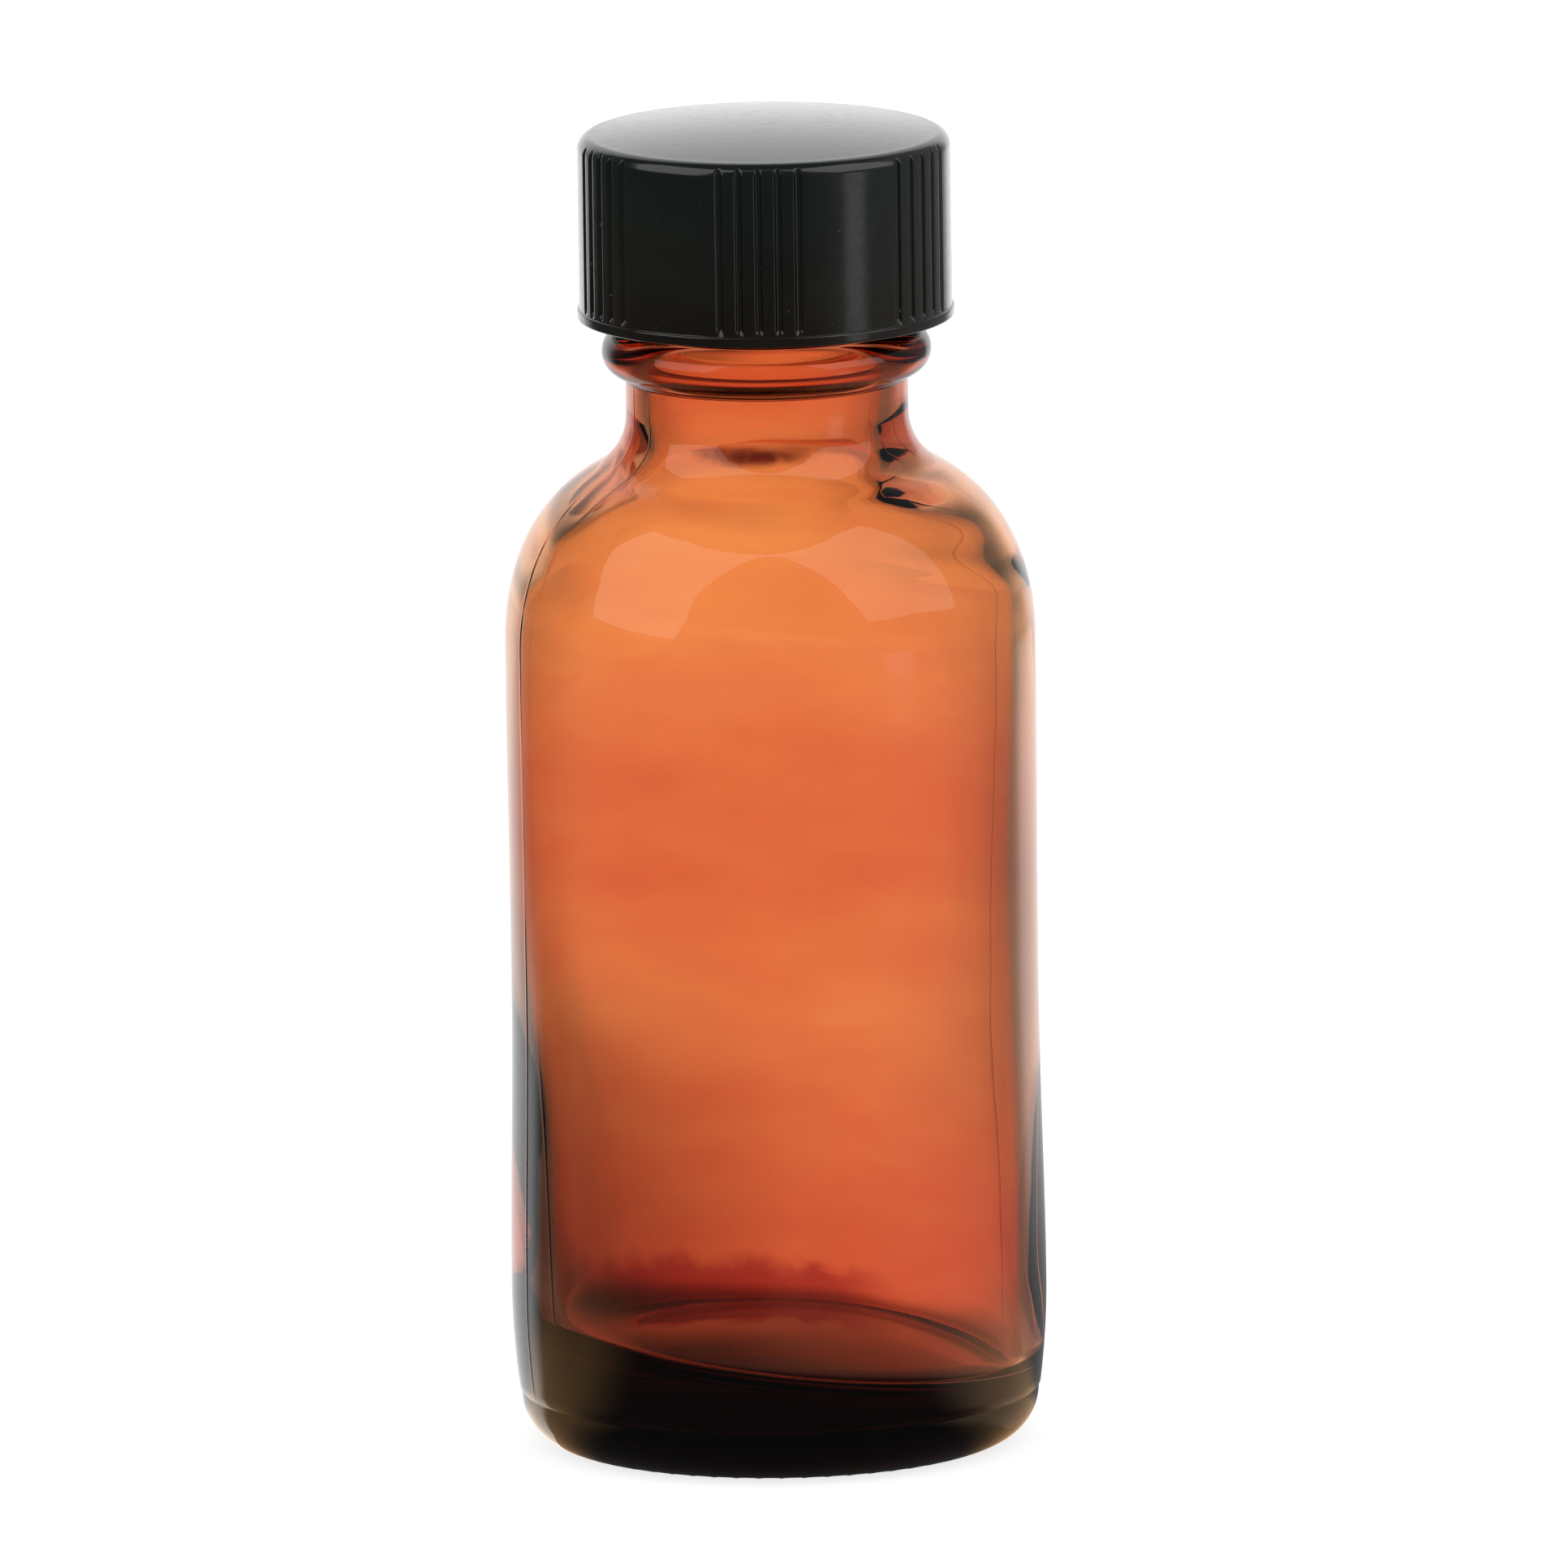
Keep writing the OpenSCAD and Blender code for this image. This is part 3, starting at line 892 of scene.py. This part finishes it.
# Amber light on the table near the bottle, seen in gloss at both sides of its foot: its azimuths
# to either side, the distances over which it fades out in metres, and its colour
AMBER_SIDE = (60.0, 78.0, 100.0, 130.0)
AMBER_REACH = (0.03, 0.09)
AMBER_LIGHT = (0.62, 0.34, 0.13, 1.0)
# The dark room in gloss, and where it is less dark on the right
ROOM_LEFT = 0.06
ROOM_RIGHT = 0.2
ROOM_SIDE = (10.0, 30.0, 120.0, 165.0)
# Heights of the sky, as sines, over which gloss loses sight of the sweep, and over which the dim
# ceiling takes over through the glass
ROOF_UP = (0.7, 0.9)
CEILING = 0.15
CEILING_UP = (0.08, 0.35)
# Plain light of the room on everything
ROOM_GLOW = 0.8


def sector(shader, azimuth, start, full, full_end, end):
    """1 between two azimuths, 0 outside, with soft sides."""
    rise = shader.smooth(azimuth, start, full)
    fall = shader.smooth(azimuth, full_end, end, 1.0, 0.0)
    return shader.math("MULTIPLY", rise, fall)


def azimuth_of(shader, parts, side=0.0, behind=0.0):
    """Azimuth about the point side, behind; parts are the separated X, Y and Z."""
    x = shader.math("SUBTRACT", parts.outputs[0], side)
    y = shader.math("SUBTRACT", parts.outputs[1], behind)
    return shader.math("DEGREES", shader.math("ARCTAN2", x, y))


def mirrored_level(shader, from_left, from_right, left_far, right_far, bright, strip_glow):
    """What gloss sees at the azimuths from the bottle's two sides: the white sweep behind the
    bottle and the dark room. left_far and right_far are 0 near the bottle and 1 far from it;
    bright scales the sweep."""
    rise = shader.mix_number(left_far, shader.smooth(from_left, *LEFT_NEAR),
                             shader.smooth(from_left, *LEFT_FAR))
    fall = shader.mix_number(right_far, shader.smooth(from_right, *RIGHT_NEAR),
                             shader.smooth(from_right, *RIGHT_FAR))
    strip = shader.math("MULTIPLY", sector(shader, from_right, *STRIP), strip_glow)
    room = shader.mix_number(sector(shader, from_right, *ROOM_SIDE), ROOM_LEFT, ROOM_RIGHT)
    room = shader.math("ADD", room, strip)
    behind = sector(shader, from_left, *SWEEP_REACH)
    shown = shader.math("MULTIPLY", shader.math("MULTIPLY", rise, fall), behind)
    return shader.mix_number(shown, room, bright)


def through_level(shader, azimuth, white=1.0):
    """What shows through the glass at each azimuth: white, and the two dark flags."""
    flags = shader.math("MAXIMUM", sector(shader, azimuth, *LEFT_FLAG),
                        sector(shader, azimuth, *RIGHT_FLAG))
    return shader.mix_number(flags, white, FLAG_LEVEL)


def table_through(shader, parts, from_axis, azimuth, aside):
    """How bright the table shows through the glass."""
    patch = shader.math("MULTIPLY", shader.smooth(parts.outputs[0], *PATCH_SIDE),
                        shader.smooth(from_axis, *PATCH_REACH))
    clear = shader.math("MULTIPLY", shader.smooth(from_axis, FOOT_DARK, FOOT_CLEAR),
                        shader.mix_number(patch, 1.0, 1.0 - PATCH_DARK))
    dimmed = shader.math("MULTIPLY", sector(shader, aside, *SWEEP_FALL),
                         shader.smooth(from_axis, *SWEEP_FALL_FROM))
    white = shader.mix_number(dimmed, 1.0, SWEEP_SIDE)
    return shader.math("MULTIPLY", clear, through_level(shader, azimuth, white))


def table_mirrored(shader, parts, from_axis, azimuth):
    """How bright the table shows in gloss."""
    foot = shader.mix_number(shader.smooth(azimuth, *FOOT_GLOSS_RIGHT), 1.0,
                             shader.smooth(from_axis, *FOOT_GLOSS, FOOT_GLOSS_DARK, 1.0))
    from_left = azimuth_of(shader, parts, -SIDE_AT[0], SIDE_AT[1])
    from_right = azimuth_of(shader, parts, *SIDE_AT)
    left_far = shader.smooth(from_axis, *LEFT_TURN)
    right_far = shader.smooth(from_axis, *RIGHT_TURN)
    return mirrored_level(shader, from_left, from_right, left_far, right_far, foot,
                          shader.math("MULTIPLY", right_far, STRIP_GLOW))


def floor_material():
    """A plain pale table, and its own picture for gloss and for the glass."""
    material, shader = new_material("table")
    rays = shader.add("ShaderNodeLightPath")
    in_gloss, through = rays.outputs["Is Glossy Ray"], rays.outputs["Is Transmission Ray"]
    place = shader.add("ShaderNodeNewGeometry").outputs["Position"]
    from_axis = shader.add("ShaderNodeVectorMath", {0: place}, operation="LENGTH").outputs["Value"]
    parts = shader.add("ShaderNodeSeparateXYZ", {0: place})
    azimuth = azimuth_of(shader, parts)
    aside = shader.math("ABSOLUTE", azimuth)
    glow = shader.mix_number(through, table_mirrored(shader, parts, from_axis, azimuth),
                             table_through(shader, parts, from_axis, azimuth, aside))
    white = shader.add("ShaderNodeEmission", {"Color": grey(1.0), "Strength": glow})
    thrown = shader.math("MULTIPLY", sector(shader, aside, *AMBER_SIDE),
                         shader.smooth(from_axis, *AMBER_REACH, 1.0, 0.0))
    thrown = shader.math("MULTIPLY", thrown, shader.math("SUBTRACT", 1.0, through))
    amber = shader.add("ShaderNodeEmission", {"Color": AMBER_LIGHT, "Strength": thrown})
    picture = shader.add("ShaderNodeAddShader", {0: white.outputs[0], 1: amber.outputs[0]})
    plain = shader.add("ShaderNodeBsdfDiffuse", {"Color": grey(FLOOR_SHADE)})
    lift = shader.math("MULTIPLY", rays.outputs["Is Camera Ray"], FLOOR_GLOW)
    light = shader.add("ShaderNodeEmission", {"Color": grey(1.0), "Strength": lift})
    table = shader.add("ShaderNodeAddShader", {0: plain.outputs[0], 1: light.outputs[0]})
    both = shader.add("ShaderNodeMixShader", {0: shader.math("MAXIMUM", in_gloss, through),
                                              1: table.outputs[0], 2: picture.outputs[0]})
    shader.add("ShaderNodeOutputMaterial", {"Surface": both.outputs[0]})
    return material


def make_floor():
    mesh = bpy.data.meshes.new("table")
    half = FLOOR_HALF
    corners = [(-half, -half, FLOOR_LEVEL), (half, -half, FLOOR_LEVEL),
               (half, half, FLOOR_LEVEL), (-half, half, FLOOR_LEVEL)]
    mesh.from_pydata(corners, [], [(0, 1, 2, 3)])
    floor = bpy.data.objects.new("table", mesh)
    floor.data.materials.append(floor_material())
    bpy.context.scene.collection.objects.link(floor)
    return floor


def make_world():
    """White for the camera, plain light for the object, and pictures for gloss and glass."""
    world = bpy.data.worlds.new("studio")
    world.use_nodes = True
    bpy.context.scene.world = world
    shader = Shader(world.node_tree)
    rays = shader.add("ShaderNodeLightPath")
    way = shader.add("ShaderNodeTexCoord").outputs["Generated"]
    parts = shader.add("ShaderNodeSeparateXYZ", {0: way})
    up = parts.outputs[2]
    azimuth = azimuth_of(shader, parts)
    high = shader.smooth(up, *SWEEP_UP, 1.0, SWEEP_HIGH)
    sweep = mirrored_level(shader, azimuth, azimuth, 1.0, 1.0, high, 0.0)
    mirrored = shader.mix_number(shader.smooth(up, *ROOF_UP), sweep, ROOM_LEFT)
    through = shader.mix_number(shader.smooth(up, *CEILING_UP),
                                through_level(shader, azimuth), CEILING)
    level = shader.mix_number(rays.outputs["Is Glossy Ray"], ROOM_GLOW, mirrored)
    level = shader.mix_number(rays.outputs["Is Transmission Ray"], level, through)
    level = shader.mix_number(rays.outputs["Is Camera Ray"], level, 1.0)
    sky = shader.add("ShaderNodeBackground", {"Color": grey(1.0), "Strength": level})
    shader.add("ShaderNodeOutputWorld", {"Surface": sky.outputs[0]})


# The two softboxes as directions seen from the shoulder: degrees left (-) or right of the camera,
# and degrees up. A round hood in front of the camera bites into both. Each box has its aim, the
# hood's half width and where its round edge starts at it, and its corners from the hood's top
# round to that start
SOFTBOX_REACH = 0.7
SOFTBOX_GLOW = 1.1
SOFTBOX_COLOUR = (1.0, 0.985, 0.96, 1.0)
SHOULDER_POINT = Vector((0.0, 0.0, 0.055))
HOOD_MIDDLE = -10.0
HOOD_RISE = 69.0
HOOD_POINTS = 12
EDGE_POINTS = 4
LEFT_AIM = (-54.0, 44.0)
LEFT_HOOD = (-43.0, 28.0)
LEFT_CORNERS = ((0, 60), (-68, 60), (-97, 55), (-98, 38), (-88, 21), (-85, 9), (-62, 8),
                (-42, 8), (-38, 18))
RIGHT_AIM = (55.0, 45.0)
RIGHT_HOOD = (44.0, 27.0)
RIGHT_CORNERS = ((0, 60), (69, 66), (91, 63), (93, 50), (91, 9), (67, 13), (44, 14), (42, 19))


def way_to(azimuth, elevation):
    """Unit vector of a direction."""
    a = math.radians(azimuth)
    e = math.radians(elevation)
    return Vector((math.cos(e) * math.sin(a), -math.cos(e) * math.cos(a), math.sin(e)))


def softbox_material():
    material, shader = new_material("softbox")
    glow = shader.add("ShaderNodeEmission", {"Color": SOFTBOX_COLOUR,
                                             "Strength": SOFTBOX_GLOW})
    shader.add("ShaderNodeOutputMaterial", {"Surface": glow.outputs[0]})
    return material


def softbox_outline(hood, corners):
    """Directions round a softbox: up the hood's edge, and along straight edges by the corners."""
    half, start = hood
    turns = np.linspace(math.asin((start - HOOD_MIDDLE) / HOOD_RISE), math.pi / 2, HOOD_POINTS)
    points = [(half * math.cos(turn), HOOD_MIDDLE + HOOD_RISE * math.sin(turn)) for turn in turns]
    ends = np.array([points[-1], *corners, points[0]])
    shares = np.arange(len(ends))
    fine = np.linspace(0, len(ends) - 1, (len(ends) - 1) * EDGE_POINTS + 1)[1:-1]
    edges = zip(np.interp(fine, shares, ends[:, 0]), np.interp(fine, shares, ends[:, 1]))
    return points + list(edges)


def make_softbox(name, aim, hood, corners, material):
    """A flat glowing panel across the aim that fills its directions from the shoulder."""
    facing = way_to(*aim)
    ways = [way_to(a, e) for a, e in softbox_outline(hood, corners)]
    points = [SHOULDER_POINT + way * (SOFTBOX_REACH / way.dot(facing)) for way in ways]
    mesh = bpy.data.meshes.new(name)
    mesh.from_pydata([tuple(p) for p in points], [], [tuple(range(len(points)))])
    box = bpy.data.objects.new(name, mesh)
    box.data.materials.append(material)
    box.visible_camera = False
    box.visible_transmission = False
    bpy.context.scene.collection.objects.link(box)
    return box


def make_camera():
    data = bpy.data.cameras.new("camera")
    data.lens = CAMERA_LENS
    data.sensor_width = CAMERA_SENSOR
    data.clip_start, data.clip_end = CAMERA_CLIP
    camera = bpy.data.objects.new("camera", data)
    bpy.context.scene.collection.objects.link(camera)
    at = Vector(CAMERA_AT) * MM
    aim = Vector(CAMERA_AIM) * MM
    turn = (aim - at).to_track_quat("-Z", "Y").to_matrix().to_4x4()
    roll = Matrix.Rotation(-math.radians(CAMERA_ROLL), 4, "Z")
    camera.matrix_world = Matrix.Translation(at) @ turn @ roll
    bpy.context.scene.camera = camera


# ---------------------------------------------------------------- put together

def dress_node(name, material):
    """Give a CAD node its material, with its flat faces kept flat."""
    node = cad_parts[name]
    node.data.materials.clear()
    node.data.materials.append(material)
    node.data.shade_flat()


# Light goes through up to eight glass surfaces here, and back and forth between them
GLASS_BOUNCES = 24
GLOSS_BOUNCES = 8

make_camera()
make_world()
make_floor()
softbox = softbox_material()
make_softbox("softbox_left", LEFT_AIM, LEFT_HOOD, LEFT_CORNERS, softbox)
make_softbox("softbox_right", RIGHT_AIM, RIGHT_HOOD, RIGHT_CORNERS, softbox)

bottle = bottle_piece()
bottle.data.materials.append(amber_glass())
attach(bottle, "bottle")
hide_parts("bottle")

cap = cap_piece()
cap.data.materials.append(phenolic())
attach(cap, "cap")
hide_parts("cap")

dress_node("liner_backing", pulpboard())
dress_node("liner_facing", liner_film())

bpy.context.scene.view_settings.view_transform = "Standard"
bpy.context.scene.cycles.max_bounces = GLASS_BOUNCES
bpy.context.scene.cycles.transmission_bounces = GLASS_BOUNCES
bpy.context.scene.cycles.glossy_bounces = GLOSS_BOUNCES
